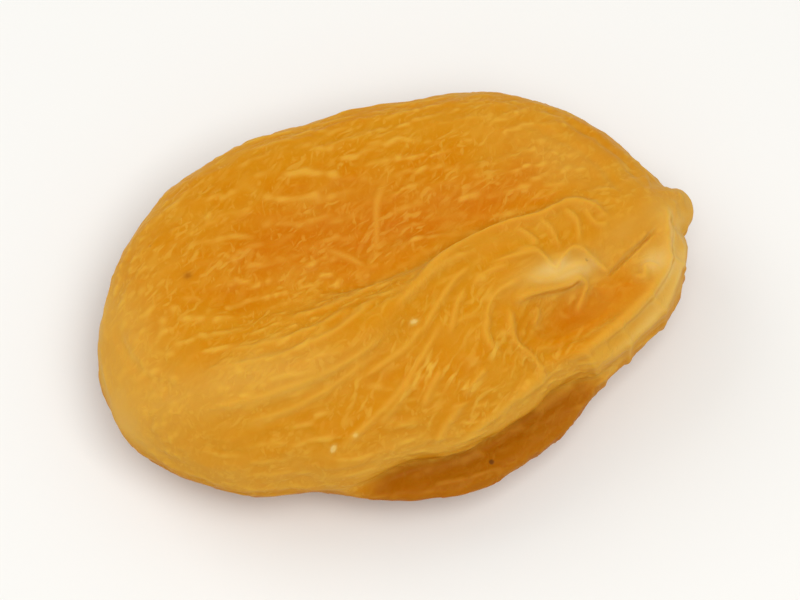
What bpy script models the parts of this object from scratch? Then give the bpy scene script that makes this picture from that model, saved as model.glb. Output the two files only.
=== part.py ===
"""One dried apricot: a whole pitted fruit, dried flat, lying on its broad side.

The fruit grew as one piece, so the model is one closed body. It starts as a quad sphere, which is
stretched to the fruit's outline and thickness, and is then worked over with a few broad strokes: the dish
that the pit left, the fold beside it, and the torn mouth at the stem end that the pit was squeezed out
of. Along the near side the upper half overhangs the lower one, whose lip stands out from under it.

Frame: metres, +Z up. +X runs along the fruit towards its mouth, and the origin is on the surface that the
fruit lies on, under the middle of it.
"""

import math
from dataclasses import dataclass

import bmesh
import bpy
import numpy as np

MM = 0.001

# Driving dimensions of the fruit.
LENGTH = 42.6 * MM
WIDTH = 28.2 * MM
RIM_HEIGHT = 5.4 * MM  # the widest level, above the surface that the fruit lies on
UPPER_RISE = 5.9 * MM  # from the rim up to the crown, before the strokes
LOWER_DROP = 5.55 * MM  # from the rim down to the belly, before the flat spot is cut
UPPER_BLUNTNESS = 0.62  # 1 is an ellipse in section, and less is a fuller edge
LOWER_BLUNTNESS = 0.74
FACES_PER_SIDE = 28  # squares along each edge of the cube that the sphere is made from

# How far the upper half is set back from the lower lip, and the groove between them.
LIP_SET_BACK = 2.1 * MM
LIP_MIDDLE = math.radians(-76)
LIP_HALF_ANGLE = math.radians(47)
GROOVE_DEPTH = 1.1 * MM
GROOVE_LATITUDE = math.radians(3)
GROOVE_HALF_WIDTH = math.radians(7)

COLOUR = (0.66, 0.27, 0.02, 1.0)
ROUGHNESS = 0.45


@dataclass(frozen=True)
class Swell:
    """A stretch of the outline, round one direction, that stands out (or in, if amount is negative)."""

    angle: float  # degrees round from +X
    half_width: float  # degrees
    amount: float  # metres


@dataclass(frozen=True)
class Stroke:
    """A ridge or a furrow on the upper face, along a smooth curve through a few points seen from above."""

    name: str
    route: tuple  # millimetres, in the plane of the rim
    half_widths: tuple  # millimetres, at the two ends of the route
    height: float  # millimetres, negative for a furrow


@dataclass(frozen=True)
class Dent:
    """An oval hollow, or a bulge if its height is above zero."""

    name: str
    centre: tuple  # millimetres
    half_sizes: tuple  # millimetres, along and across
    turn: float  # degrees, from +X
    height: float  # millimetres


OUTLINE_SWELLS = (
    Swell(angle=4, half_width=5, amount=1.2 * MM),  # the nose at the stem end
    Swell(angle=14, half_width=10, amount=-0.9 * MM),
    Swell(angle=-4, half_width=10, amount=-0.8 * MM),
    Swell(angle=-18, half_width=12, amount=0.45 * MM),  # the lip of the mouth
    Swell(angle=-29, half_width=17, amount=-2.1 * MM),  # the flatter near side of the mouth
    Swell(angle=-48, half_width=9, amount=-0.4 * MM),
    Swell(angle=-88, half_width=22, amount=1.0 * MM),  # the lower lip
    Swell(angle=-126, half_width=9, amount=-0.6 * MM),  # where the lower lip begins
    Swell(angle=-152, half_width=20, amount=0.8 * MM),
    Swell(angle=-165, half_width=9, amount=0.4 * MM),
    Swell(angle=166, half_width=9, amount=-0.45 * MM),
    Swell(angle=132, half_width=26, amount=0.6 * MM),
    Swell(angle=48, half_width=18, amount=0.75 * MM),
)

UPPER_STROKES = (
    Stroke(
        "fold_floor", ((-16, 0.8), (-9, 0.3), (-4, 0.4), (1.6, 1.6), (7.8, 2.7), (13.5, 3.3)), (2.2, 0.9), -1.1
    ),
    Stroke(
        "fold_crest", ((-20, -4.5), (-12, -6.3), (-5.3, -4.7), (0.8, -1.6), (6.3, 0.8), (15, 1.7)), (2.8, 1.0), 1.1
    ),
    Stroke("mouth_slit", ((12.0, -4.9), (14.4, -3.4), (16.6, -2.0), (19.6, 0.0)), (0.9, 0.7), -1.0),
    Stroke("mouth_skin", ((6.6, -5.0), (7.4, -2.6), (10.4, -2.3), (14.0, -2.4)), (1.0, 1.0), 0.6),
    Stroke("mouth_lip", ((20.2, 1.5), (19.3, -3.0), (15.4, -6.9), (11.0, -8.4), (6.5, -9.9)), (1.1, 1.5), 0.9),
)

UPPER_DENTS = (
    Dent("pit_dish", (-2.5, 5.0), (12.5, 5.8), 6, -1.7),
    Dent("far_shelf", (10.5, 6.6), (5.0, 2.4), -24, -0.5),
    Dent("mouth_pocket", (10.6, -5.1), (3.5, 1.9), 33, -1.7),
    Dent("mouth_end", (18.2, -1.5), (2.4, 3.2), 0, 0.5),
    Dent("near_flank", (0.5, -9.0), (8.0, 2.6), 8, 0.5),
)

LOWER_DENTS = (
    Dent("belly_hollow_left", (-12.5, 4.5), (5.0, 3.6), 30, 1.0),
    Dent("belly_hollow_right", (12.0, -4.0), (5.5, 3.0), 20, 1.1),
    Dent("belly_hollow_far", (6.0, 8.0), (6.0, 2.6), -8, 0.8),
)


def smooth_step(low, high, value):
    """0 up to low, 1 from high on, and a smooth rise between."""
    share = np.clip((value - low) / (high - low), 0.0, 1.0)
    return share * share * (3.0 - 2.0 * share)


def bell(distance, half_width):
    """1 at no distance, and down to about a third at half_width."""
    return np.exp(-((distance / half_width) ** 2))


def angle_between(first, second):
    """The signed turn from second to first, from -pi to pi."""
    return (first - second + math.pi) % (2.0 * math.pi) - math.pi


def curve_through(points, steps_per_span=8):
    """Points of a Catmull-Rom curve through the given points."""
    points = np.array(points, float)
    padded = np.vstack([2 * points[0] - points[1], points, 2 * points[-1] - points[-2]])
    steps = np.linspace(0.0, 1.0, steps_per_span, endpoint=False)[:, None]
    spans = []
    for before, start, end, after in zip(padded, padded[1:], padded[2:], padded[3:]):
        bend = 2 * before - 5 * start + 4 * end - after
        twist = 3 * start - 3 * end + after - before
        spans.append(start + 0.5 * steps * ((end - before) + steps * (bend + steps * twist)))
    return np.vstack([*spans, points[-1:]])


def nearest_on_curve(places, curve):
    """For each place, how far it is from the curve, and its share of the way along the curve."""
    starts, sides = curve[:-1], np.diff(curve, axis=0)
    offsets = places[:, None, :] - starts[None]
    shares = np.clip((offsets * sides).sum(2) / (sides**2).sum(1), 0.0, 1.0)
    gaps = np.linalg.norm(offsets - shares[..., None] * sides, axis=2)
    nearest = gaps.argmin(axis=1)
    rows = np.arange(len(places))
    return gaps[rows, nearest], (nearest + shares[rows, nearest]) / len(sides)


def outline_radius(angle):
    """The fruit's half-width in each direction round its middle, seen from above."""
    half_length, half_width = LENGTH / 2, WIDTH / 2
    radius = half_length * half_width / np.hypot(half_width * np.cos(angle), half_length * np.sin(angle))
    for swell in OUTLINE_SWELLS:
        turn = angle_between(angle, math.radians(swell.angle))
        radius += swell.amount * bell(turn, math.radians(swell.half_width))
    return radius


def stroke_heights(strokes, places):
    """The height that the strokes add at each place, in millimetres. Each one fades out at its two ends."""
    total = np.zeros(len(places))
    for stroke in strokes:
        gap, share = nearest_on_curve(places, curve_through(stroke.route))
        fade = smooth_step(0.0, 0.18, share) * smooth_step(0.0, 0.18, 1.0 - share)
        total += stroke.height * fade * bell(gap, np.interp(share, (0.0, 1.0), stroke.half_widths))
    return total


def dent_heights(dents, places):
    """The height that the dents add at each place, in millimetres."""
    total = np.zeros(len(places))
    for dent in dents:
        turn = math.radians(dent.turn)
        offset = places - np.array(dent.centre)
        along = offset[:, 0] * math.cos(turn) + offset[:, 1] * math.sin(turn)
        across = offset[:, 1] * math.cos(turn) - offset[:, 0] * math.sin(turn)
        total += dent.height * bell(np.hypot(along / dent.half_sizes[0], across / dent.half_sizes[1]), 1.0)
    return total


def fruit_surface(directions):
    """Where each direction of the unit sphere ends up on the fruit."""
    angle = np.arctan2(directions[:, 1], directions[:, 0])
    height_share = np.clip(directions[:, 2], -1.0, 1.0)
    latitude = np.arcsin(height_share)
    upper = height_share > 0
    bluntness = np.where(upper, UPPER_BLUNTNESS, LOWER_BLUNTNESS)
    plan_share = np.cos(latitude) ** bluntness

    # The upper half is set back above the lower lip, with a groove where the two meet.
    lip = smooth_step(0.0, 0.5, 1.0 - np.abs(angle_between(angle, LIP_MIDDLE)) / LIP_HALF_ANGLE)
    climb = (latitude - GROOVE_LATITUDE) / GROOVE_HALF_WIDTH
    above_groove = smooth_step(-1.0, 1.0, climb)
    groove = bell(climb, 1.0)
    radius = outline_radius(angle) - lip * (LIP_SET_BACK * above_groove + GROOVE_DEPTH * groove)

    plan = np.stack([np.cos(angle), np.sin(angle)], axis=1) * (radius * plan_share)[:, None]
    height = np.where(upper, UPPER_RISE, LOWER_DROP) * height_share
    places = plan / MM
    crown = stroke_heights(UPPER_STROKES, places) + dent_heights(UPPER_DENTS, places)
    belly = dent_heights(LOWER_DENTS, places)
    height += np.where(upper, crown * smooth_step(0.05, 0.55, height_share), 0.0) * MM
    height += np.where(upper, 0.0, belly * smooth_step(0.05, 0.5, -height_share)) * MM
    return np.column_stack([plan, height + RIM_HEIGHT])


def quad_sphere():
    """A cube divided into even squares, for its vertices to be pulled onto a sphere."""
    body = bmesh.new()
    bmesh.ops.create_cube(body, size=2.0)
    bmesh.ops.subdivide_edges(body, edges=body.edges[:], cuts=FACES_PER_SIDE - 1, use_grid_fill=True)
    return body


def cut_flat_spot(body):
    """Cuts off what lies below the surface, and closes the body with one flat face."""
    everything = body.verts[:] + body.edges[:] + body.faces[:]
    bmesh.ops.bisect_plane(
        body, geom=everything, dist=1e-7, plane_co=(0, 0, 0), plane_no=(0, 0, -1), clear_outer=True
    )
    rim = [edge for edge in body.edges if edge.is_boundary]
    bmesh.ops.edgeloop_fill(body, edges=rim)
    bmesh.ops.recalc_face_normals(body, faces=body.faces[:])


def centre_over_origin(body):
    """Moves the body sideways so that the origin is under the middle of its box."""
    places = np.array([vertex.co for vertex in body.verts])
    middle = (places.min(axis=0) + places.max(axis=0)) / 2
    bmesh.ops.translate(body, verts=body.verts[:], vec=(-middle[0], -middle[1], 0.0))


def skin_material():
    """Amber dried fruit."""
    material = bpy.data.materials.new("apricot_flesh")
    material.use_nodes = True
    shader = material.node_tree.nodes["Principled BSDF"]
    shader.inputs["Base Color"].default_value = COLOUR
    shader.inputs["Roughness"].default_value = ROUGHNESS
    shader.inputs["Metallic"].default_value = 0.0
    return material


def make_apricot(collection):
    """The whole fruit as one object."""
    body = quad_sphere()
    corners = np.array([vertex.co for vertex in body.verts])
    # Squares near a cube's corners would be crowded on the sphere, so the grid is evened out first.
    evened = np.tan(corners * math.pi / 4)
    directions = evened / np.linalg.norm(evened, axis=1, keepdims=True)
    for vertex, place in zip(body.verts, fruit_surface(directions)):
        vertex.co = place
    cut_flat_spot(body)
    centre_over_origin(body)
    mesh = bpy.data.meshes.new("apricot")
    body.to_mesh(mesh)
    body.free()
    mesh.shade_smooth()
    mesh.materials.append(skin_material())
    collection.objects.link(bpy.data.objects.new("apricot", mesh))


def main():
    for leftover in list(bpy.data.objects):
        bpy.data.objects.remove(leftover)
    collection = bpy.data.collections.new("dried_apricot")
    bpy.context.scene.collection.children.link(collection)
    make_apricot(collection)


main()
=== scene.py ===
"""One pitted dried apricot on a pale table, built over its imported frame.

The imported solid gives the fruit's bulk. Here it gets its skin: a fine even mesh is made over the solid, the
fold, the torn mouth and the lower lip are pressed in more sharply, and the skin is then left to buckle into
wrinkles of three sizes, as the skin of drying fruit does. The thinnest lines of all are left to its finish.

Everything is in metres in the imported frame: +X runs along the fruit to its mouth, +Z is up.
"""

from __future__ import annotations

import logging
import math
from dataclasses import dataclass, fields
from enum import Enum

import bmesh
import bpy
import numpy as np
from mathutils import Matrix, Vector

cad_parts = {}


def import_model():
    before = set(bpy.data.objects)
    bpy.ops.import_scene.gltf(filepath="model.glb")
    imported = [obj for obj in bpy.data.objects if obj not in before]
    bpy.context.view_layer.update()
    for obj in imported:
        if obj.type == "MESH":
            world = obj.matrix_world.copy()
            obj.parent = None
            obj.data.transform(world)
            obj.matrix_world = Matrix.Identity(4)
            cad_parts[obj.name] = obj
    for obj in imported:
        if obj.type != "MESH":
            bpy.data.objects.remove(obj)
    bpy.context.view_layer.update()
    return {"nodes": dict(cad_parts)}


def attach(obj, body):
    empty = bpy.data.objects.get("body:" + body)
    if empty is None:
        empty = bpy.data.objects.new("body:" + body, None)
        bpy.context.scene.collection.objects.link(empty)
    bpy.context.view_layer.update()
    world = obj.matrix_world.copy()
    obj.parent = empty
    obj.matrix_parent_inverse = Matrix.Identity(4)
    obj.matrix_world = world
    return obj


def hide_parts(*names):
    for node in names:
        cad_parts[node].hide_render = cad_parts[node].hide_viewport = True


MM = 0.001

log = logging.getLogger("apricot")


# ---------------------------------------------------------------------------------------------------------
# Small shape functions
# ---------------------------------------------------------------------------------------------------------


def bell(distance: np.ndarray, half_width: float | np.ndarray) -> np.ndarray:
    """1 at no distance, and down to about a third at half_width."""
    return np.exp(-((distance / half_width) ** 2))


def smooth_step(low: float, high: float, value: np.ndarray) -> np.ndarray:
    """0 up to low, 1 from high on, and a smooth rise between."""
    share = np.clip((value - low) / (high - low), 0.0, 1.0)
    return share * share * (3.0 - 2.0 * share)


def unit(vectors: np.ndarray) -> np.ndarray:
    """The vectors, each made one long."""
    return vectors / np.maximum(np.linalg.norm(vectors, axis=1, keepdims=True), 1e-12)


def curve_through(points: np.ndarray, steps_per_span: int = 8) -> np.ndarray:
    """Points of a smooth curve through a few given points.

    Args:
        points: the points to pass through, in order, one to a row.
        steps_per_span: how many straight steps stand for the curve between two of them.

    Returns:
        The points of the curve, one to a row.
    """
    padded = np.vstack([2 * points[0] - points[1], points, 2 * points[-1] - points[-2]])
    steps = np.linspace(0.0, 1.0, steps_per_span, endpoint=False)[:, None]
    spans = []
    for before, start, end, after in zip(padded, padded[1:], padded[2:], padded[3:]):
        bend = 2 * before - 5 * start + 4 * end - after
        twist = 3 * start - 3 * end + after - before
        spans.append(start + 0.5 * steps * ((end - before) + steps * (bend + steps * twist)))
    return np.vstack([*spans, points[-1:]])


def nearest_on_curve(places: np.ndarray, curve: np.ndarray) -> tuple[np.ndarray, np.ndarray]:
    """How far each place is from a curve.

    Args:
        places: the places, one to a row.
        curve: the points of the curve, one to a row.

    Returns:
        The distance of each place, and its share of the way along the curve.
    """
    gap = np.full(len(places), np.inf)
    share = np.zeros(len(places))
    for index, (start, end) in enumerate(zip(curve, curve[1:])):
        side = end - start
        along = np.clip((places - start) @ side / (side @ side), 0.0, 1.0)
        away = np.linalg.norm(places - start - along[:, None] * side, axis=1)
        closer = away < gap
        gap[closer] = away[closer]
        share[closer] = (index + along[closer]) / (len(curve) - 1)
    return gap, share


# ---------------------------------------------------------------------------------------------------------
# What is pressed into the skin
# ---------------------------------------------------------------------------------------------------------


class Face(Enum):
    """Where a crease reaches on the fruit."""

    UPPER = "upper"
    ROUND = "round"

    def share(self, normals: np.ndarray) -> np.ndarray:
        """How much of a crease each point takes, from the way its skin faces."""
        return np.ones(len(normals)) if self is Face.ROUND else smooth_step(0.0, 0.35, normals[:, 2])


WIDEST_CRESTED = 0.5  # a ridge with a larger half-width, in millimetres, is too soft to show a bright crest
WIDEST_CREST = 0.24


@dataclass(frozen=True)
class Crease:
    """A ridge or a furrow along a smooth curve, seen from above. Sizes are in millimetres."""

    name: str
    route: tuple[tuple[float, float], ...]
    half_width: float
    height: float
    face: Face = Face.UPPER
    fade: float = 0.2

    def reach(self, places: np.ndarray) -> tuple[np.ndarray, np.ndarray]:
        """How strongly the crease is felt at each place. It fades out at its two ends.

        Args:
            places: the places seen from above, in millimetres, one to a row.

        Returns:
            Two shares for each place, from 0 to 1: of the crease's height, and of its thin bright crest.
        """
        gap, share = nearest_on_curve(places, curve_through(np.array(self.route, float)))
        ends = smooth_step(0.0, self.fade, share) * smooth_step(0.0, self.fade, 1.0 - share)
        crested = self.height > 0 and self.half_width < WIDEST_CRESTED
        crest = bell(gap, min(0.75 * self.half_width, WIDEST_CREST)) * crested
        return ends * bell(gap, self.half_width), ends * crest


@dataclass(frozen=True)
class Patch:
    """An oval stretch of the skin, seen from above. Sizes are in millimetres."""

    name: str
    centre: tuple[float, float]
    half_sizes: tuple[float, float]
    turn: float
    amount: float

    def amounts(self, places: np.ndarray) -> np.ndarray:
        """The patch's amount at each place, fading out round it.

        Args:
            places: the places seen from above, in millimetres, one to a row.

        Returns:
            One amount for each place.
        """
        turn = math.radians(self.turn)
        offset = places - np.array(self.centre)
        along = offset[:, 0] * math.cos(turn) + offset[:, 1] * math.sin(turn)
        across = offset[:, 1] * math.cos(turn) - offset[:, 0] * math.sin(turn)
        return self.amount * bell(np.hypot(along / self.half_sizes[0], across / self.half_sizes[1]), 1.0)


FOLDS = (
    # The long fold beside the dish, and the foot that it drops to.
    Crease("fold_edge_left", ((-12.0, -5.4), (-7.5, -5.3), (-3.0, -4.0), (1.0, -1.3)), 0.9, 0.25),
    Crease(
        "fold_edge",
        (
            (-3.0, -4.0), (2.0, -0.7), (6.0, 1.2), (10.2, 1.5), (12.4, 2.1), (14.2, 1.4), (15.3, 0.0),
        ),
        0.36, 0.5,
    ),
    Crease(
        "fold_foot", ((-8.0, 0.2), (-2.0, 0.3), (2.0, 0.7), (6.9, 2.2), (10.4, 2.7), (13.9, 3.2)), 0.6, -0.6
    ),
    Crease("fold_tuck_a", ((8.4, 1.0), (9.0, 0.3), (9.6, -0.6)), 0.24, 0.18),
    Crease("fold_tuck_b", ((10.1, 1.3), (10.7, 0.3), (11.1, -1.2)), 0.24, 0.2),
    Crease("fold_tuck_c", ((11.9, 1.8), (12.6, 0.6), (12.4, -1.0)), 0.24, 0.2),
    Crease("fold_tuck_d", ((13.3, 1.8), (13.9, 0.3), (14.9, 0.1)), 0.24, 0.18),
    # Long soft lines that run with the fold.
    Crease("swath_a", ((-15.5, -3.6), (-11.0, -4.2), (-7.0, -4.0), (-4.0, -3.0), (-1.0, -1.2)), 0.26, 0.16),
    Crease("swath_b", ((-16.5, -6.0), (-12.0, -6.6), (-8.0, -6.4), (-4.5, -5.6), (-1.5, -4.0)), 0.28, 0.2),
    Crease("swath_c", ((-14.0, -2.4), (-10.0, -3.0), (-6.5, -2.8), (-3.5, -1.8)), 0.26, 0.14),
    Crease("swath_d", ((-13.5, -7.8), (-9.5, -7.8), (-6.0, -6.9), (-3.4, -5.6)), 0.26, 0.16),
    Crease("swath_e", ((-9.0, -1.4), (-5.0, -1.3), (-2.0, -0.5), (1.0, 0.4)), 0.26, 0.14),
    Crease("swath_f", ((-1.6, -3.2), (0.6, -1.9), (3.0, -0.6), (5.6, 0.0)), 0.24, 0.2),
    Crease("swath_g", ((-0.2, -5.4), (1.4, -3.6), (3.2, -1.9), (5.0, -0.9)), 0.24, 0.22),
    Crease("swath_h", ((2.0, -5.6), (3.0, -3.6), (4.0, -2.4)), 0.24, 0.2),
    # The ribs across the dish.
    Crease("dish_rib", ((2.0, 8.4), (0.0, 6.0), (-0.9, 3.0), (-1.6, 1.6)), 0.4, 0.14, fade=0.4),
    Crease("dish_rib_left", ((-5.4, 4.0), (-3.0, 2.3), (-1.8, 0.8)), 0.4, 0.1, fade=0.4),
    # The thin skin over the mouth.
    Crease(
        "mouth_skin_top",
        (
            (5.4, -1.2), (7.8, -1.1), (9.3, -1.1), (10.2, -2.3), (11.0, -1.7), (12.0, -1.2),
            (13.2, -2.2), (14.1, -3.3),
        ),
        0.25, 0.3, fade=0.1,
    ),
    Crease(
        "mouth_skin_edge",
        (
            (6.6, -4.2), (8.0, -3.7), (10.6, -3.3), (11.7, -3.0), (12.1, -3.5), (11.6, -4.5),
            (10.9, -5.4),
        ),
        0.28, 0.45, fade=0.12,
    ),
    Crease("mouth_skin_fold", ((8.0, -2.6), (9.8, -2.9), (11.8, -2.3), (13.0, -2.5)), 0.3, 0.22),
    Crease("skin_line_a", ((4.4, -2.6), (5.1, -1.9), (6.2, -1.6), (7.4, -1.7)), 0.24, 0.2),
    Crease("skin_line_b", ((4.6, -5.6), (5.0, -4.4), (6.0, -3.3), (8.2, -2.6)), 0.26, 0.26),
    Crease(
        "skin_line_c",
        (
            (6.5, -4.2), (6.2, -6.4), (7.3, -8.0), (7.4, -8.9), (5.4, -9.9),
        ),
        0.27, 0.32, fade=0.1,
    ),
    Crease("skin_line_d", ((4.9, -4.6), (4.4, -6.2), (5.1, -7.8)), 0.26, 0.24),
    Crease("skin_line_e", ((8.3, -4.4), (8.3, -5.1), (7.8, -5.8)), 0.24, 0.22),
    # The torn pocket, the slit that runs on from it to the nose, and the thick lip round them.
    Crease("pocket_floor", ((7.6, -6.4), (9.8, -6.0), (12.6, -5.2), (14.6, -4.3)), 1.1, -0.2),
    Crease("pocket_foot", ((7.4, -8.1), (9.4, -7.5), (12.0, -6.8), (14.6, -5.8)), 0.34, -0.3),
    Crease("slit_bed", ((12.6, -4.4), (14.4, -2.9), (16.6, -1.5), (19.4, 0.4)), 0.8, 0.5, fade=0.1),
    Crease("slit", ((13.6, -3.4), (15.3, -2.3), (16.8, -1.4), (18.4, -0.4)), 0.26, -0.45),
    Crease(
        "lip_inner",
        (
            (19.3, 1.4), (18.8, -0.6), (18.1, -3.2), (16.6, -4.8), (14.7, -6.1), (12.1, -7.5),
            (9.1, -8.7),
        ),
        0.34, 0.36, fade=0.1,
    ),
    Crease(
        "lip_seam",
        (
            (19.7, 0.4), (18.9, -2.6), (17.5, -4.9), (14.3, -7.0), (11.0, -8.4),
        ),
        0.24, -0.13, fade=0.1,
    ),
    Crease(
        "lip_outer",
        (
            (20.0, -0.8), (19.2, -3.0), (17.3, -5.5), (14.5, -7.3), (10.0, -9.3),
        ),
        0.32, 0.28, Face.ROUND, fade=0.12,
    ),
    Crease("lip_tuck_a", ((16.0, -5.0), (16.7, -5.6), (17.6, -6.0)), 0.24, 0.13, Face.ROUND),
    Crease("lip_tuck_b", ((13.2, -6.7), (13.9, -7.3), (14.4, -8.2)), 0.24, 0.13, Face.ROUND),
    Crease("lip_tuck_c", ((18.0, -2.6), (18.9, -3.0), (19.8, -2.9)), 0.24, 0.13, Face.ROUND),
    Crease("lip_tuck_d", ((10.6, -7.9), (11.6, -8.8), (12.6, -9.2)), 0.24, 0.13, Face.ROUND),
    Crease("lip_wall_tuck", ((15.4, -3.7), (16.2, -4.0), (16.6, -3.2), (17.6, -3.6)), 0.24, 0.3),
    Crease("nose", ((20.6, 3.2), (21.3, 1.7), (20.9, 0.2)), 1.0, 0.2, Face.ROUND),
    Crease("nose_notch", ((18.8, -0.2), (20.4, -0.5), (21.6, -0.8)), 0.4, -0.3, Face.ROUND),
    Crease("nose_dip", ((18.6, 3.4), (19.6, 3.4), (20.8, 3.6)), 0.6, -0.25, Face.ROUND),
    # Long wrinkles that fan out from the mouth over the near flank.
    Crease("flank_a", ((-7.6, -11.0), (-4.9, -9.9), (-2.3, -8.5), (-0.3, -6.7), (2.8, -3.3)), 0.3, 0.2),
    Crease("flank_b", ((-4.9, -7.2), (-1.2, -5.7), (0.6, -4.2)), 0.28, 0.16),
    Crease("flank_c", ((-4.3, -10.2), (-2.5, -9.1), (-1.2, -7.5)), 0.28, 0.16),
    Crease("flank_d", ((-1.1, -9.8), (0.0, -8.6), (1.0, -7.6)), 0.26, 0.2),
    Crease("flank_e", ((-0.9, -12.0), (0.5, -10.8), (2.1, -9.9)), 0.26, 0.17),
    Crease("flank_f", ((1.8, -9.6), (3.0, -8.8), (4.0, -8.1)), 0.26, 0.22),
    Crease("flank_g", ((0.6, -12.1), (2.7, -11.3), (5.3, -10.1), (7.2, -8.8)), 0.28, 0.2),
    Crease("lip_line_a", ((6.8, -10.7), (8.5, -9.9), (10.4, -9.2)), 0.28, 0.2),
    Crease("lip_line_b", ((5.2, -10.4), (6.9, -9.5), (8.2, -8.9)), 0.26, 0.18),
    Crease("lip_line_c", ((10.2, -9.0), (11.6, -8.3), (12.8, -7.8)), 0.26, 0.16),
    # Lines that follow the rim.
    Crease("rim_line_left", ((-19.6, 2.7), (-19.2, -0.6), (-18.2, -2.7), (-15.6, -4.8)), 0.34, -0.16),
    Crease("rim_line_far", ((12.3, 11.3), (14.7, 8.9), (17.2, 5.7), (18.4, 2.6)), 0.32, -0.16),
    Crease("rim_line_inner", ((10.6, 9.9), (13.5, 7.5), (15.7, 4.8), (16.6, 1.8)), 0.32, -0.13),
)


@dataclass(frozen=True)
class LipGroove:
    """The crease between the upper half and the lower lip, round one side of the fruit."""

    middle: float = math.radians(-76)
    half_angle: float = math.radians(46)
    level: float = 5.75 * MM
    half_height: float = 0.42 * MM
    depth: float = 0.75 * MM

    def depths(self, places: np.ndarray) -> np.ndarray:
        """How deep the groove is at each place, in metres.

        Args:
            places: the places, in metres, one to a row.

        Returns:
            One depth for each place.
        """
        level = self.level + 0.1 * MM * np.sin(places[:, 0] / (3.1 * MM))
        reach = smooth_step(0.0, 0.45, self.share(places))
        return self.depth * reach * bell(places[:, 2] - level, self.half_height)

    def share(self, places: np.ndarray) -> np.ndarray:
        """How near each place is to the middle of the groove's stretch: 1 there, and 0 at its ends."""
        turn = np.arctan2(places[:, 1], places[:, 0]) - self.middle
        return 1.0 - np.abs((turn + math.pi) % (2 * math.pi) - math.pi) / self.half_angle


# ---------------------------------------------------------------------------------------------------------
# How the skin buckles
# ---------------------------------------------------------------------------------------------------------


class SkinWeb:
    """The points of a skin and their neighbours, for sums that run over the surface."""

    def __init__(self, mesh: bpy.types.Mesh) -> None:
        """Reads a closed mesh of quads.

        Args:
            mesh: the skin.
        """
        count = len(mesh.vertices)
        self.places = np.empty(count * 3, np.float32)
        mesh.vertices.foreach_get("co", self.places)
        self.places = self.places.reshape(-1, 3).astype(float)
        self.normals = np.empty(count * 3, np.float32)
        mesh.vertex_normals.foreach_get("vector", self.normals)
        self.normals = self.normals.reshape(-1, 3).astype(float)
        edges = np.empty(len(mesh.edges) * 2, np.int32)
        mesh.edges.foreach_get("vertices", edges)
        edges = edges.reshape(-1, 2)
        starts = np.concatenate([edges[:, 0], edges[:, 1]])
        ends = np.concatenate([edges[:, 1], edges[:, 0]])
        order = np.argsort(starts, kind="stable")
        starts, ends = starts[order], ends[order]
        valence = np.bincount(starts, minlength=count)
        slot = np.arange(len(starts)) - np.repeat(np.cumsum(valence) - valence, valence)
        self.neighbours = np.repeat(np.arange(count)[:, None], valence.max(), axis=1)
        self.neighbours[starts, slot] = ends
        present = np.zeros(self.neighbours.shape)
        present[starts, slot] = 1.0
        self.sides = self.places[self.neighbours] - self.places[:, None, :]
        lengths = np.linalg.norm(self.sides, axis=2)
        spacing = float(lengths.sum() / present.sum())
        self.weights = present * (4.0 / valence[:, None]) / spacing**2

    def spread(self, values: np.ndarray, weights: np.ndarray) -> np.ndarray:
        """The weighted sum of how much each point's neighbours differ from it."""
        return np.einsum("ij,ij->i", weights, values[self.neighbours] - values[:, None])


@dataclass(frozen=True)
class Buckling:
    """Wrinkles of one size. Skin that is too large for its flesh buckles into waves of one wavelength, which
    wander and branch, and which line up with the way the skin is pulled."""

    wavelength: float
    drive: float = 0.7
    lean: float = 0.25
    duration: float = 9.0
    seed: int = 1

    def grow(self, web: SkinWeb, pull: np.ndarray, alignment: np.ndarray, stretch: np.ndarray) -> np.ndarray:
        """Lets the skin buckle.

        Args:
            web: the skin.
            pull: the direction at each point that the wrinkles run along.
            alignment: how strongly they keep to it, from 0 to 1.
            stretch: the wavelength at each point, as a multiple of this size.

        Returns:
            The height at each point, about -1 to 1.
        """
        along = (web.sides * pull[:, None, :]).sum(2) / np.maximum(np.linalg.norm(web.sides, axis=2), 1e-9)
        scale = (self.wavelength * stretch / (2 * math.pi))[:, None] ** 2
        weights = (web.weights * scale).astype(np.float32)
        aligned = (weights * 2 * along**2 * alignment[:, None]).astype(np.float32)
        stiffest = float(2 * weights.sum(1).max())
        step = 1.7 / ((stiffest - 1.0) ** 2 + 2 * float(aligned.sum(1).max()) + 1.0)
        height = np.random.default_rng(self.seed).normal(0.0, 0.3, len(web.places)).astype(np.float32)
        for _ in range(round(self.duration / step)):
            around = height[web.neighbours] - height[:, None]
            bent = height + np.einsum("ij,ij->i", weights, around)
            bent += web.spread(bent, weights)
            change = self.drive * height - bent + np.einsum("ij,ij->i", aligned, around)
            height = height + step * (change + self.lean * height**2 - height**3)
            height = np.clip(height, -2.0, 2.0)
        return height / np.percentile(np.abs(height), 98)


# ---------------------------------------------------------------------------------------------------------
# Node building
# ---------------------------------------------------------------------------------------------------------


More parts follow.
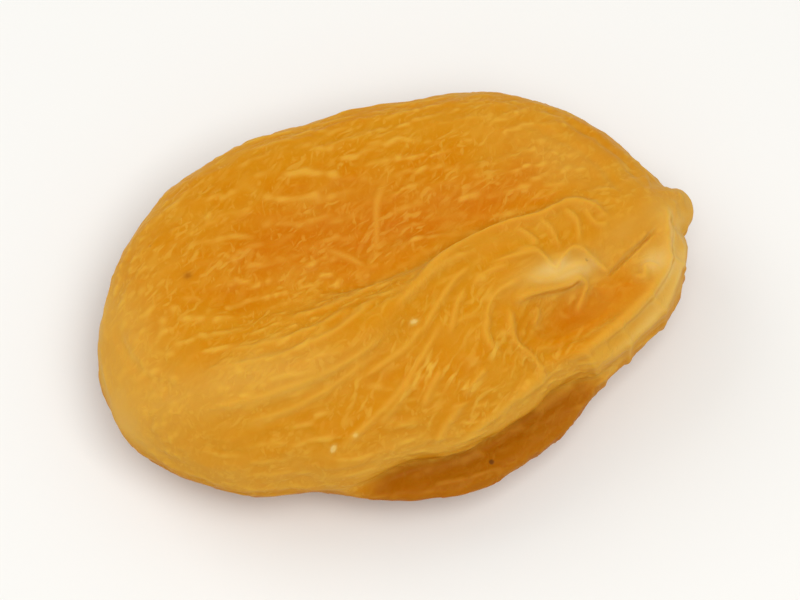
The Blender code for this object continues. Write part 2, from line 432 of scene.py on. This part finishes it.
class NodeSheet:
    """Places nodes in a tree and joins them."""

    def __init__(self, tree: bpy.types.NodeTree) -> None:
        """Starts on a tree."""
        self.tree = tree
        self.count = 0

    def add(
        self, kind: str, inputs: dict[str | int, object] | None = None, **settings: object
    ) -> bpy.types.Node:
        """Adds a node.

        Args:
            kind: the node's type name.
            inputs: for each input socket, a value or another node's output to join to it.
            **settings: properties of the node.

        Returns:
            The node.
        """
        node = self.tree.nodes.new(kind)
        node.location = (190 * (self.count % 12), -280 * (self.count // 12))
        self.count += 1
        for name, value in settings.items():
            setattr(node, name, value)
        for name, value in (inputs or {}).items():
            if isinstance(value, bpy.types.NodeSocket):
                self.tree.links.new(value, node.inputs[name])
            else:
                node.inputs[name].default_value = value
        return node

    def math(
        self, operation: str, first: object, second: object = 0.0, third: object = 0.0
    ) -> bpy.types.NodeSocket:
        """The result of a sum on numbers."""
        return self.add("ShaderNodeMath", {0: first, 1: second, 2: third}, operation=operation).outputs[0]

    def ramp(
        self, value: object, low: object, high: object, start: object = 0.0, end: object = 1.0
    ) -> bpy.types.NodeSocket:
        """A smooth change from start at low to end at high."""
        inputs = {"Value": value, "From Min": low, "From Max": high, "To Min": start, "To Max": end}
        return self.add("ShaderNodeMapRange", inputs, interpolation_type="SMOOTHSTEP").outputs["Result"]

    def blend(self, share: object, first: object, second: object) -> bpy.types.NodeSocket:
        """A colour between two others."""
        node = self.add("ShaderNodeMix", data_type="RGBA", clamp_factor=True)
        for index, value in ((0, share), (6, first), (7, second)):
            if isinstance(value, bpy.types.NodeSocket):
                self.tree.links.new(value, node.inputs[index])
            else:
                node.inputs[index].default_value = value
        return node.outputs[2]

    def noise(
        self, place: object, size: object, detail: float = 2.0, roughness: float = 0.5
    ) -> bpy.types.NodeSocket:
        """Cloudy noise whose lumps are about size across."""
        scale = self.math("DIVIDE", 1.0, size)
        inputs = {"Vector": place, "Scale": scale, "Detail": detail, "Roughness": roughness}
        return self.add("ShaderNodeTexNoise", inputs).outputs["Fac"]


def named_socket(
    tree: bpy.types.NodeTree, name: str, kind: str, way: str = "INPUT", value: object = None
) -> None:
    """Adds a named input or output to a tree.

    Args:
        tree: the tree.
        name: the socket's name.
        kind: Float, Color, Vector, Geometry, Int or Material.
        way: INPUT or OUTPUT.
        value: what an input holds until it is set.
    """
    socket = tree.interface.new_socket(name=name, in_out=way, socket_type=f"NodeSocket{kind}")
    if value is not None:
        socket.default_value = value


# ---------------------------------------------------------------------------------------------------------
# The finish of the skin
# ---------------------------------------------------------------------------------------------------------


@dataclass(frozen=True)
class FleshColours:
    """The colours of dried apricot, as linear red, green and blue."""

    amber: tuple[float, float, float, float] = (0.60, 0.232, 0.0005, 1.0)
    orange: tuple[float, float, float, float] = (0.57, 0.166, 0.0005, 1.0)
    honey: tuple[float, float, float, float] = (0.63, 0.325, 0.045, 1.0)
    straw: tuple[float, float, float, float] = (0.73, 0.41, 0.05, 1.0)
    cream: tuple[float, float, float, float] = (0.74, 0.49, 0.15, 1.0)
    # The dark brown paints shade, below the overhang and on the fruit's downward faces, and is also the stem
    # fleck's colour.
    umber: tuple[float, float, float, float] = (0.36, 0.105, 0.001, 1.0)
    speck: tuple[float, float, float, float] = (0.10, 0.03, 0.006, 1.0)


@dataclass(frozen=True)
class LineRun:
    """One run of thin lines in the skin. Its turn is in degrees, and its gap in metres."""

    turn: float
    stretch: float
    gap: float
    width: float


@dataclass(frozen=True)
class SkinFinish:
    """Soft, slightly translucent flesh with a dull satin skin."""

    colours: FleshColours = FleshColours()
    roughness: float = 0.46
    roughness_change: float = 0.16
    translucency: float = 0.35
    glow_depth: float = 1.1 * MM
    glow: tuple[float, float, float] = (1.0, 0.42, 0.10)
    gloss: float = 0.04
    grain_depth: float = 0.04 * MM
    lengthwise: LineRun = LineRun(24, 3.6, 0.36 * MM, 0.1)
    fanned: LineRun = LineRun(46, 6.0, 0.44 * MM, 0.15)
    loose: LineRun = LineRun(75, 2.2, 0.34 * MM, 0.08)

    def colour_group(self) -> bpy.types.NodeTree:
        """Builds the group that mixes the flesh's colour from the marks on the skin."""
        tree = bpy.data.node_groups.new("flesh_colour", "ShaderNodeTree")
        named_socket(tree, "Place", "Vector")
        for name in ("Blush", "Pale", "Crest", "Under", "Lines"):
            named_socket(tree, name, "Float", value=0.0)
        named_socket(tree, "Mottle Size", "Float", value=3.0 * MM)
        named_socket(tree, "Colour", "Color", "OUTPUT")
        sheet = NodeSheet(tree)
        given = sheet.add("NodeGroupInput").outputs
        broad = sheet.noise(given["Place"], given["Mottle Size"], 3.0)
        fine = sheet.noise(given["Place"], 0.45 * MM, 2.0)
        blush = sheet.math("MULTIPLY_ADD", sheet.math("SUBTRACT", broad, 0.5), 0.9, given["Blush"])
        ground = sheet.blend(blush, self.colours.amber, self.colours.orange)
        # Honey, and cream where the skin is palest. The pale mark holds paler skin, painted sheen on the rim
        # and three painted glints.
        pale = sheet.math("MULTIPLY_ADD", sheet.math("SUBTRACT", broad, 0.5), -0.5, given["Pale"])
        washed = sheet.blend(pale, ground, self.colours.honey)
        washed = sheet.blend(sheet.ramp(pale, 0.8, 1.8), washed, self.colours.cream)
        # Painted shade: dark brown where the skin lies below the upper half's overhang and where it faces
        # down. The stem fleck, which is real, comes in the same way.
        shaded = sheet.blend(given["Under"], washed, self.colours.umber)
        # Straw on the crests, the thin lines and the wisps: paler skin, with painted sheen on it. Less of it
        # shows in the painted shade.
        wisps = sheet.math("MULTIPLY", sheet.ramp(fine, 0.52, 0.74), 0.12)
        thin = sheet.math("MAXIMUM", given["Crest"], sheet.math("MAXIMUM", given["Lines"], wisps))
        kept = sheet.math("MULTIPLY_ADD", given["Under"], -0.65, 0.76)
        ridged = sheet.blend(sheet.math("MULTIPLY", thin, kept), shaded, self.colours.straw)
        cells = sheet.add("ShaderNodeTexVoronoi", {"Vector": given["Place"], "Scale": 1 / (3.2 * MM)})
        chance = sheet.add("ShaderNodeSeparateColor", {"Color": cells.outputs["Color"]}).outputs["Red"]
        spot = sheet.ramp(cells.outputs["Distance"], 0.035, 0.075, 1.0, 0.0)
        rare = sheet.ramp(chance, 0.90, 0.92)
        speck = sheet.math("MULTIPLY", spot, sheet.math("MULTIPLY", rare, 0.7))
        speckled = sheet.blend(speck, ridged, self.colours.speck)
        sheet.add("NodeGroupOutput", {"Colour": speckled})
        return tree

    def lines_group(self) -> bpy.types.NodeTree:
        """Builds the group for thin wandering lines in the skin, which run mostly one way."""
        tree = bpy.data.node_groups.new("skin_lines", "ShaderNodeTree")
        named_socket(tree, "Place", "Vector")
        named_socket(tree, "Turn", "Float", value=0.0)
        named_socket(tree, "Stretch", "Float", value=1.8)
        named_socket(tree, "Line Gap", "Float", value=0.8 * MM)
        named_socket(tree, "Line Width", "Float", value=0.1)
        named_socket(tree, "Lines", "Float", "OUTPUT")
        sheet = NodeSheet(tree)
        given = sheet.add("NodeGroupInput").outputs
        warp = sheet.add(
            "ShaderNodeTexNoise", {"Vector": given["Place"], "Scale": 1 / (2.2 * MM), "Detail": 2.0}
        )
        swing = sheet.add(
            "ShaderNodeVectorMath", {0: warp.outputs["Color"], 1: (0.5, 0.5, 0.5)}, operation="SUBTRACT"
        ).outputs[0]
        swung = sheet.add("ShaderNodeVectorMath", {0: swing, 3: 1.1 * MM}, operation="SCALE").outputs[0]
        bent = sheet.add("ShaderNodeVectorMath", {0: given["Place"], 1: swung}).outputs[0]
        turned = sheet.add(
            "ShaderNodeVectorRotate", {"Vector": bent, "Angle": given["Turn"]}, rotation_type="Z_AXIS"
        ).outputs[0]
        parts = sheet.add("ShaderNodeSeparateXYZ", {0: turned}).outputs
        long = sheet.math("DIVIDE", parts["X"], given["Stretch"])
        drawn = sheet.add("ShaderNodeCombineXYZ", {"X": long, "Y": parts["Y"], "Z": parts["Z"]}).outputs[0]
        wave = sheet.noise(drawn, given["Line Gap"], 1.0, 0.4)
        start = sheet.math("SUBTRACT", 0.62, given["Line Width"])
        line = sheet.ramp(wave, start, 0.72)
        patchy = sheet.ramp(sheet.noise(given["Place"], 2.4 * MM, 1.0), 0.35, 0.6, 0.35, 1.0)
        sheet.add("NodeGroupOutput", {"Lines": sheet.math("MULTIPLY", line, patchy)})
        return tree

    def grain_group(self) -> bpy.types.NodeTree:
        """Builds the group for the finest relief and the sheen of the skin."""
        tree = bpy.data.node_groups.new("skin_grain", "ShaderNodeTree")
        named_socket(tree, "Place", "Vector")
        named_socket(tree, "Lines", "Float", value=0.0)
        named_socket(tree, "Pore Size", "Float", value=0.2 * MM)
        named_socket(tree, "Roughness", "Float", value=self.roughness)
        named_socket(tree, "Roughness Change", "Float", value=self.roughness_change)
        named_socket(tree, "Height", "Float", "OUTPUT")
        named_socket(tree, "Roughness", "Float", "OUTPUT")
        sheet = NodeSheet(tree)
        given = sheet.add("NodeGroupInput").outputs
        pore = sheet.noise(given["Place"], given["Pore Size"], 1.0)
        height = sheet.math("MULTIPLY_ADD", pore, 0.3, given["Lines"])
        patchy = sheet.noise(given["Place"], 1.7 * MM, 3.0)
        change = sheet.math("MULTIPLY", sheet.math("SUBTRACT", patchy, 0.5), given["Roughness Change"])
        rough = sheet.math("MULTIPLY_ADD", change, 2.0, given["Roughness"])
        sheet.add("NodeGroupOutput", {"Height": height, "Roughness": rough})
        return tree

    def lines(self, sheet: NodeSheet, place: bpy.types.NodeSocket) -> bpy.types.NodeSocket:
        """All the thin lines: some run lengthwise, those on the flank fan out, and a few run anyhow."""
        group = self.lines_group()
        runs = []
        for run in (self.lengthwise, self.fanned, self.loose):
            node = sheet.add("ShaderNodeGroup", {}, node_tree=group)
            sheet.tree.links.new(place, node.inputs["Place"])
            node.inputs["Turn"].default_value = -math.radians(run.turn)
            node.inputs["Stretch"].default_value = run.stretch
            node.inputs["Line Gap"].default_value = run.gap
            node.inputs["Line Width"].default_value = run.width
            runs.append(node.outputs["Lines"])
        flank = self.mark(sheet, "flank")
        lengthwise = sheet.math("MULTIPLY", runs[0], sheet.math("MULTIPLY_ADD", flank, -0.6, 0.6))
        fanned = sheet.math("MULTIPLY", runs[1], sheet.math("MULTIPLY_ADD", flank, 0.9, 0.3))
        loose = sheet.math("MULTIPLY", runs[2], 0.5)
        lines = sheet.math("MAXIMUM", lengthwise, sheet.math("MAXIMUM", fanned, loose))
        return sheet.math("MULTIPLY", lines, sheet.math("SUBTRACT", 1.0, self.mark(sheet, "calm")))

    def build(self) -> bpy.types.Material:
        """Makes the skin's material.

        Returns:
            The material, which reads the marks blush, pale, crest, under, flank and calm on the skin.
        """
        material = bpy.data.materials.new("apricot_skin")
        material.use_nodes = True
        sheet = NodeSheet(material.node_tree)
        shader = material.node_tree.nodes["Principled BSDF"]
        place = sheet.add("ShaderNodeTexCoord").outputs["Object"]
        marks = {name.title(): self.mark(sheet, name) for name in ("blush", "pale", "crest", "under")}
        marks["Lines"] = self.lines(sheet, place)
        colour = sheet.add("ShaderNodeGroup", {}, node_tree=self.colour_group())
        grain = sheet.add("ShaderNodeGroup", {}, node_tree=self.grain_group())
        for node in (colour, grain):
            material.node_tree.links.new(place, node.inputs["Place"])
        for name, mark in marks.items():
            material.node_tree.links.new(mark, colour.inputs[name])
        material.node_tree.links.new(marks["Lines"], grain.inputs["Lines"])
        relief = {"Height": grain.outputs["Height"], "Strength": 1.0, "Distance": self.grain_depth}
        bump = sheet.add("ShaderNodeBump", relief)
        links = material.node_tree.links
        links.new(colour.outputs["Colour"], shader.inputs["Base Color"])
        links.new(grain.outputs["Roughness"], shader.inputs["Roughness"])
        links.new(bump.outputs["Normal"], shader.inputs["Normal"])
        shader.inputs["Subsurface Weight"].default_value = self.translucency
        shader.inputs["Subsurface Scale"].default_value = self.glow_depth
        shader.inputs["Subsurface Radius"].default_value = self.glow
        shader.inputs["Specular IOR Level"].default_value = self.gloss
        return material

    @staticmethod
    def mark(sheet: NodeSheet, name: str) -> bpy.types.NodeSocket:
        """Reads one of the skin's marks."""
        return sheet.add("ShaderNodeAttribute", attribute_name=name, attribute_type="GEOMETRY").outputs["Fac"]


# ---------------------------------------------------------------------------------------------------------
# The wrinkled skin
# ---------------------------------------------------------------------------------------------------------


@dataclass(frozen=True)
class Wrinkling:
    """How high the skin's folds and wrinkles stand, as a node tree that lifts each point along its normal."""

    fold_height: float = 0.075 * MM
    wrinkle_height: float = 0.045 * MM
    crinkle_height: float = 0.03 * MM
    crumple_height: float = 0.75 * MM
    crumple_size: float = 4.0 * MM
    seed: float = 4.0

    def tree(self) -> bpy.types.NodeTree:
        """Builds the tree, with named inputs for its sizes."""
        tree = bpy.data.node_groups.new("wrinkled_skin", "GeometryNodeTree")
        named_socket(tree, "Geometry", "Geometry", "OUTPUT")
        named_socket(tree, "Geometry", "Geometry")
        for field in fields(self):
            named_socket(tree, field.name.replace("_", " ").title(), "Float", value=getattr(self, field.name))
        named_socket(tree, "Skin", "Material")
        sheet = NodeSheet(tree)
        given = sheet.add("NodeGroupInput").outputs
        calm = self.field(sheet, "calm")
        slack = sheet.math("SUBTRACT", 1.0, calm)
        place = sheet.add("GeometryNodeInputPosition").outputs[0]
        lumps = sheet.add(
            "ShaderNodeTexNoise",
            {
                "Vector": place,
                "W": given["Seed"],
                "Scale": sheet.math("DIVIDE", 1.0, given["Crumple Size"]),
                "Detail": 2.0,
            },
            noise_dimensions="4D",
        ).outputs["Fac"]
        crumple = sheet.math("MULTIPLY", sheet.math("SUBTRACT", lumps, 0.5), given["Crumple Height"])
        worn = sheet.add(
            "ShaderNodeTexNoise",
            {"Vector": place, "W": given["Seed"], "Scale": 1 / (2.6 * MM), "Detail": 1.0},
            noise_dimensions="4D",
        ).outputs["Fac"]
        patchy = sheet.ramp(worn, 0.36, 0.62, 0.25, 1.3)
        fold = self.sharpened(sheet, self.field(sheet, "fold"), given["Fold Height"])
        wrinkle = self.sharpened(sheet, self.field(sheet, "wrinkle"), given["Wrinkle Height"])
        crinkle = self.sharpened(sheet, self.field(sheet, "crinkle"), given["Crinkle Height"])
        fine = sheet.math("MULTIPLY", sheet.math("ADD", wrinkle, crinkle), patchy)
        raised = sheet.math("ADD", sheet.math("ADD", fold, fine), crumple)
        height = sheet.math("MULTIPLY", raised, slack)
        normal = sheet.add("GeometryNodeInputNormal").outputs[0]
        offset = sheet.add("ShaderNodeVectorMath", {0: normal, 3: height}, operation="SCALE").outputs[0]
        moved = sheet.add(
            "GeometryNodeSetPosition", {"Geometry": given["Geometry"], "Offset": offset}
        ).outputs[0]
        # The crests of the wrinkles and ridges; the skin's colour makes them paler there, partly as painted
        # sheen.
        summed = sheet.math("MULTIPLY_ADD", self.field(sheet, "crinkle"), 0.5, self.field(sheet, "wrinkle"))
        lines = sheet.math("MULTIPLY", sheet.ramp(summed, 0.0, 1.5), patchy)
        loose = sheet.math("MULTIPLY", lines, sheet.math("MULTIPLY", slack, 0.7))
        crest = sheet.math("MAXIMUM", loose, self.field(sheet, "ridge"))
        marked = sheet.add(
            "GeometryNodeStoreNamedAttribute",
            {"Geometry": moved, "Name": "crest", "Value": crest},
            data_type="FLOAT",
            domain="POINT",
        ).outputs[0]
        real = sheet.add("GeometryNodeRealizeInstances", {"Geometry": marked}).outputs[0]
        dressed = sheet.add("GeometryNodeSetMaterial", {"Geometry": real, "Material": given["Skin"]})
        sheet.add("NodeGroupOutput", {"Geometry": dressed.outputs[0]})
        return tree

    @staticmethod
    def field(sheet: NodeSheet, name: str) -> bpy.types.NodeSocket:
        """Reads a value that the skin carries."""
        reader = sheet.add("GeometryNodeInputNamedAttribute", {"Name": name}, data_type="FLOAT")
        return reader.outputs["Attribute"]

    @staticmethod
    def sharpened(sheet: NodeSheet, wave: bpy.types.NodeSocket, height: object) -> bpy.types.NodeSocket:
        """A wave with narrower crests and flatter troughs, at its height."""
        peak = sheet.ramp(wave, 0.1, 1.3)
        shape = sheet.math("MULTIPLY_ADD", wave, 0.45, sheet.math("MULTIPLY", peak, 0.75))
        return sheet.math("MULTIPLY", shape, height)

    def press(self, piece: bpy.types.Object, skin: bpy.types.Material) -> bpy.types.Object:
        """Runs the tree on a piece.

        Args:
            piece: the mesh that carries the fields calm, ridge, fold, wrinkle and crinkle.
            skin: the material that the result wears.

        Returns:
            A plain mesh object in the piece's place.
        """
        modifier = piece.modifiers.new("wrinkles", "NODES")
        modifier.node_group = self.tree()
        for item in modifier.node_group.interface.items_tree:
            if item.in_out == "INPUT" and item.name == "Skin":
                modifier[item.identifier] = skin
        return flattened(piece)


def flattened(piece: bpy.types.Object) -> bpy.types.Object:
    """Makes a piece's modifiers part of its mesh.

    Args:
        piece: an object with modifiers.

    Returns:
        The same object, now with the evaluated mesh and no modifiers.
    """
    graph = bpy.context.evaluated_depsgraph_get()
    mesh = bpy.data.meshes.new_from_object(piece.evaluated_get(graph), depsgraph=graph)
    piece.modifiers.clear()
    piece.data = mesh
    return piece


def store(mesh: bpy.types.Mesh, name: str, values: np.ndarray) -> None:
    """Writes one value for each point of a mesh."""
    layer = mesh.attributes.new(name, "FLOAT", "POINT")
    layer.data.foreach_set("value", values.astype(np.float32))


RIM_HALF_LENGTH = 21.4  # of the oval that the rim follows, in millimetres
RIM_HALF_WIDTH = 14.4
LENGTHWISE = math.radians(22)  # the way that most wrinkles run, turned from +X
FANNED = math.radians(38)  # the way that they run on the near flank
CREST_SHARE = 0.62  # how bright the crest of a placed ridge is, beside that of a wrinkle

@dataclass
class Apricot:
    """The dried fruit, with the sizes of its skin mesh and of its wrinkles.

    The skin is flushed orange at its blushes, paler at its pales, where three spots are painted glints,
    and lies smooth at its stills.
    """

    solid: bpy.types.Object
    coarse_step: float = 0.37 * MM
    folds: tuple[Crease, ...] = FOLDS
    groove: LipGroove = LipGroove()
    fold_waves: Buckling = Buckling(wavelength=2.3 * MM, seed=11)
    wrinkle_waves: Buckling = Buckling(wavelength=1.3 * MM, seed=7)
    crinkle_waves: Buckling = Buckling(wavelength=0.78 * MM, seed=23)
    wrinkling: Wrinkling = Wrinkling()
    finish: SkinFinish = SkinFinish()

    blushes: tuple[Patch, ...] = (
        Patch("dish", (-4.0, 4.6), (9.5, 4.4), 6, 1.0),
        Patch("dish_right", (7.0, 4.2), (6.5, 1.9), 10, 0.8),
        Patch("pocket", (12.0, -5.2), (4.2, 1.5), 14, 0.9),
        Patch("flank_middle", (0.5, -7.5), (5.0, 2.4), 30, 0.25),
    )
    pales: tuple[Patch, ...] = (
        Patch("mouth_skin", (10.6, -2.6), (3.0, 1.0), 4, 1.7),
        Patch("mouth_facet", (16.0, -0.4), (2.8, 1.1), 20, 0.5),
        Patch("lip_wall", (17.2, -3.0), (1.5, 1.3), 40, 1.4),
        Patch("lip", (16.2, -6.5), (5.8, 1.0), 38, 0.9),
        Patch("lip_end", (19.2, -1.8), (1.2, 3.2), 8, 0.9),
        Patch("fold_left", (-12.0, -5.2), (7.0, 1.9), -4, 0.8),
        Patch("fold_right", (9.0, 0.6), (6.0, 0.9), 8, 0.25),
        Patch("far_right", (12.5, 6.5), (5.0, 2.6), -35, 0.4),
        Patch("nose", (20.4, 1.4), (1.8, 1.8), 0, 0.5),
        Patch("left_end", (-19.5, 0.0), (2.6, 7.0), 0, 0.7),
        # Painted glints: three tiny cream spots with no height of their own.
        Patch("painted_glint_a", (-0.1, -4.1), (0.24, 0.16), 0, 3.0),
        Patch("painted_glint_b", (-7.4, -10.7), (0.22, 0.16), 30, 3.0),
        Patch("painted_glint_c", (-5.8, -10.4), (0.2, 0.14), 0, 2.0),
    )
    flecks: tuple[Patch, ...] = (Patch("stem_fleck", (-14.0, 3.8), (0.3, 0.24), 0, 1.0),)

    stills: tuple[Patch, ...] = (
        Patch("facet", (16.0, -0.4), (2.4, 1.0), 20, 0.9),
        Patch("mouth_skin", (10.6, -2.7), (2.8, 0.8), 4, 0.8),
        Patch("pocket", (12.2, -5.4), (3.6, 1.1), 12, 0.9),
        Patch("lip_wall", (17.2, -3.0), (1.2, 1.0), 40, 0.6),
        Patch("left_end", (-20.2, -1.0), (1.2, 6.0), 0, 0.6),
    )

    def build(self) -> bpy.types.Object:
        """Makes the whole fruit.

        Returns:
            The finished piece, riding on the frame.
        """
        piece = self.even_skin()
        self.mark_folds(piece.data)
        piece = self.finer(piece)
        self.press_creases(piece.data)
        self.mark_skin(piece.data)
        piece = self.wrinkling.press(piece, self.finish.build())
        for name in ("ridge", "fold", "wrinkle", "crinkle"):
            piece.data.attributes.remove(piece.data.attributes[name])
        piece.data.shade_smooth()
        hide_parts("apricot")
        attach(piece, "root")
        return piece

    def even_skin(self) -> bpy.types.Object:
        """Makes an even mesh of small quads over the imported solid."""
        body = bmesh.new()
        body.from_mesh(self.solid.data)
        bmesh.ops.remove_doubles(body, verts=body.verts[:], dist=1e-6)
        bmesh.ops.join_triangles(
            body, faces=body.faces[:], angle_face_threshold=0.7, angle_shape_threshold=0.9
        )
        mesh = bpy.data.meshes.new("apricot_skin")
        body.to_mesh(mesh)
        body.free()
        piece = bpy.data.objects.new("apricot_skin", mesh)
        bpy.context.scene.collection.objects.link(piece)
        rounding = piece.modifiers.new("rounding", "SUBSURF")
        rounding.levels = rounding.render_levels = 2
        even = piece.modifiers.new("even", "REMESH")
        even.mode = "VOXEL"
        even.voxel_size = self.coarse_step
        calmed = piece.modifiers.new("calmed", "SMOOTH")
        calmed.factor = 0.5
        calmed.iterations = 6
        return flattened(piece)

    def finer(self, piece: bpy.types.Object) -> bpy.types.Object:
        """Divides each quad of the skin into four."""
        rounding = piece.modifiers.new("rounding", "SUBSURF")
        rounding.levels = rounding.render_levels = 1
        return flattened(piece)

    def mark_folds(self, mesh: bpy.types.Mesh) -> None:
        """Grows the larger folds on the coarse skin, and stores them."""
        web = SkinWeb(mesh)
        pull, alignment = self.pull(web)
        fold = self.fold_waves.grow(web, pull, alignment, np.ones(len(web.places)))
        store(mesh, "fold", fold)

    def press_creases(self, mesh: bpy.types.Mesh) -> None:
        """Presses the named folds and the lip's groove into the skin."""
        web = SkinWeb(mesh)
        seen = web.places[:, :2] / MM
        lift, ridge = np.zeros(len(seen)), np.zeros(len(seen))
        for crease in self.folds:
            felt, crest = crease.reach(seen)
            facing = crease.face.share(web.normals)
            lift += crease.height * MM * felt * facing
            ridge = np.maximum(ridge, crest * facing)
        lift -= self.groove.depths(web.places)
        moved = web.places + web.normals * lift[:, None]
        mesh.vertices.foreach_set("co", moved.astype(np.float32).ravel())
        mesh.update()
        store(mesh, "ridge", CREST_SHARE * ridge)

    def mark_skin(self, mesh: bpy.types.Mesh) -> None:
        """Grows the wrinkles, and stores where the skin is calm, in painted shade, fanned, blushed and pale.
        """
        web = SkinWeb(mesh)
        pull, alignment = self.pull(web)
        stretch = 1.0 + 0.2 * np.sin(web.places[:, 0] / (4.3 * MM)) * np.cos(web.places[:, 1] / (3.1 * MM))
        store(mesh, "wrinkle", self.wrinkle_waves.grow(web, pull, alignment, stretch))
        store(mesh, "crinkle", self.crinkle_waves.grow(web, pull, 0.5 * alignment, stretch))
        seen = web.places[:, :2] / MM
        upper = smooth_step(-0.1, 0.4, web.normals[:, 2])
        rest = 1.0 - smooth_step(0.15 * MM, 0.7 * MM, web.places[:, 2])
        still = sum(patch.amounts(seen) for patch in self.stills) * upper
        store(mesh, "calm", np.clip(rest + still, 0.0, 1.0))
        blush = sum(patch.amounts(seen) for patch in self.blushes) * upper
        pale = sum(patch.amounts(seen) for patch in self.pales) * upper
        # Painted sheen: the rim's sloping sides are made paler.
        rim = bell(web.normals[:, 2] - 0.35, 0.4) * smooth_step(3.0 * MM, 6.0 * MM, web.places[:, 2])
        # Painted shade: the band below the lip's groove, in the overhang's shadow, and the skin that faces
        # down are darkened. The real stem fleck is stored in the same mark.
        below = smooth_step(-0.2 * MM, 0.7 * MM, self.groove.level - web.places[:, 2])
        low = below * smooth_step(0.0, 0.3, self.groove.share(web.places))
        fleck = sum(patch.amounts(seen) for patch in self.flecks) * upper
        downward_shade = 0.5 * smooth_step(0.2, -0.3, web.normals[:, 2])
        store(mesh, "under", np.maximum(np.maximum(0.85 * low, downward_shade), fleck))
        store(mesh, "flank", bell(np.hypot((seen[:, 0] - 2.0) / 8.0, (seen[:, 1] + 7.5) / 4.5), 1.0) * upper)
        store(mesh, "blush", np.clip(blush, 0.0, 1.0))
        store(mesh, "pale", np.clip(pale + 0.6 * rim, 0.0, 2.0))

    @staticmethod
    def pull(web: SkinWeb) -> tuple[np.ndarray, np.ndarray]:
        """Which way the wrinkles run on the skin.

        Args:
            web: the skin.

        Returns:
            The direction at each point, and how strongly the wrinkles keep to it, from 0 to 1.
        """
        x, y = web.places[:, 0] / MM, web.places[:, 1] / MM
        steep = 1.0 - smooth_step(0.35, 0.8, np.abs(web.normals[:, 2]))
        round_rim = np.arctan2(x / RIM_HALF_LENGTH**2, -y / RIM_HALF_WIDTH**2)
        flank = bell(np.hypot((x - 1.0) / 9.0, (y + 8.0) / 4.5), 1.0) * (web.normals[:, 2] > 0)
        turns = (
            (LENGTHWISE + 0 * x, 0.35 + 0 * x),
            (round_rim, 1.2 * steep),
            (FANNED + 0 * x, 1.5 * flank),
        )
        doubled = sum(
            np.stack([np.cos(2 * turn), np.sin(2 * turn)], 1) * weight[:, None] for turn, weight in turns
        )
        angle = 0.5 * np.arctan2(doubled[:, 1], doubled[:, 0])
        level = np.stack([np.cos(angle), np.sin(angle), np.zeros(len(x))], 1)
        along = unit(level - web.normals * (level * web.normals).sum(1, keepdims=True))
        return along, np.clip(0.25 + 0.3 * steep + 0.35 * flank, 0.0, 0.6)


# ---------------------------------------------------------------------------------------------------------
# The studio
# ---------------------------------------------------------------------------------------------------------


@dataclass(frozen=True)
class Lamp:
    """A soft rectangular light that is aimed at the fruit."""

    name: str
    place: tuple[float, float, float]
    size: float
    power: float
    colour: tuple[float, float, float] = (1.0, 1.0, 1.0)

    def build(self, target: Vector) -> None:
        """Hangs the light and aims it."""
        light = bpy.data.lights.new(self.name, "AREA")
        light.energy = self.power
        light.size = self.size
        light.color = self.colour
        holder = bpy.data.objects.new(self.name, light)
        holder.location = self.place
        holder.rotation_euler = (target - holder.location).to_track_quat("-Z", "Y").to_euler()
        bpy.context.scene.collection.objects.link(holder)


@dataclass(frozen=True)
class Studio:
    """A pale table, soft light and the camera."""

    azimuth: float = math.radians(-14.5)
    elevation: float = math.radians(68)
    distance: float = 0.262
    lens: float = 170.0
    aim: tuple[float, float, float] = (0.0, 0.0, 0.0055)
    table_colour: tuple[float, float, float, float] = (0.86, 0.86, 0.85, 1.0)
    table_roughness: float = 0.7
    room_colour: tuple[float, float, float, float] = (1.0, 0.99, 0.97, 1.0)
    room_strength: float = 0.55
    lamps: tuple[Lamp, ...] = (
        Lamp("key_light", (0.04, -0.10, 0.30), 0.2, 0.55, (1.0, 0.985, 0.95)),
        Lamp("fill_light", (-0.18, 0.20, 0.22), 0.26, 0.30, (1.0, 1.0, 0.98)),
    )

    def build(self) -> None:
        """Sets the whole studio up."""
        self.table()
        for lamp in self.lamps:
            lamp.build(Vector(self.aim))
        self.sky()
        self.camera()
        bpy.context.scene.view_settings.view_transform = "Standard"

    def table(self) -> None:
        """Lays the pale table."""
        body = bmesh.new()
        bmesh.ops.create_grid(body, x_segments=1, y_segments=1, size=1.5)
        mesh = bpy.data.meshes.new("table")
        body.to_mesh(mesh)
        body.free()
        material = bpy.data.materials.new("table_white")
        material.use_nodes = True
        shader = material.node_tree.nodes["Principled BSDF"]
        shader.inputs["Base Color"].default_value = self.table_colour
        shader.inputs["Roughness"].default_value = self.table_roughness
        mesh.materials.append(material)
        table = bpy.data.objects.new("table", mesh)
        bpy.context.scene.collection.objects.link(table)

    def sky(self) -> None:
        """Lights the room evenly."""
        world = bpy.data.worlds.new("room")
        world.use_nodes = True
        back = world.node_tree.nodes["Background"]
        back.inputs["Color"].default_value = self.room_colour
        back.inputs["Strength"].default_value = self.room_strength
        bpy.context.scene.world = world

    def camera(self) -> None:
        """Points the camera at the fruit."""
        lens = bpy.data.cameras.new("camera")
        lens.lens = self.lens
        lens.clip_start = 0.01
        lens.clip_end = 10.0
        holder = bpy.data.objects.new("camera", lens)
        level = math.cos(self.elevation)
        side, front = math.sin(self.azimuth) * level, -math.cos(self.azimuth) * level
        back = Vector((side, front, math.sin(self.elevation)))
        holder.location = Vector(self.aim) + back * self.distance
        holder.rotation_euler = (-back).to_track_quat("-Z", "Y").to_euler()
        bpy.context.scene.collection.objects.link(holder)
        bpy.context.scene.camera = holder


def main() -> None:
    """Builds the fruit and the studio."""
    logging.basicConfig(level=logging.INFO, format="%(name)s: %(message)s")
    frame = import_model()
    fruit = Apricot(frame["nodes"]["apricot"]).build()
    log.info("%s: %d faces", fruit.name, len(fruit.data.polygons))
    Studio().build()


if __name__ == "__main__":
    main()
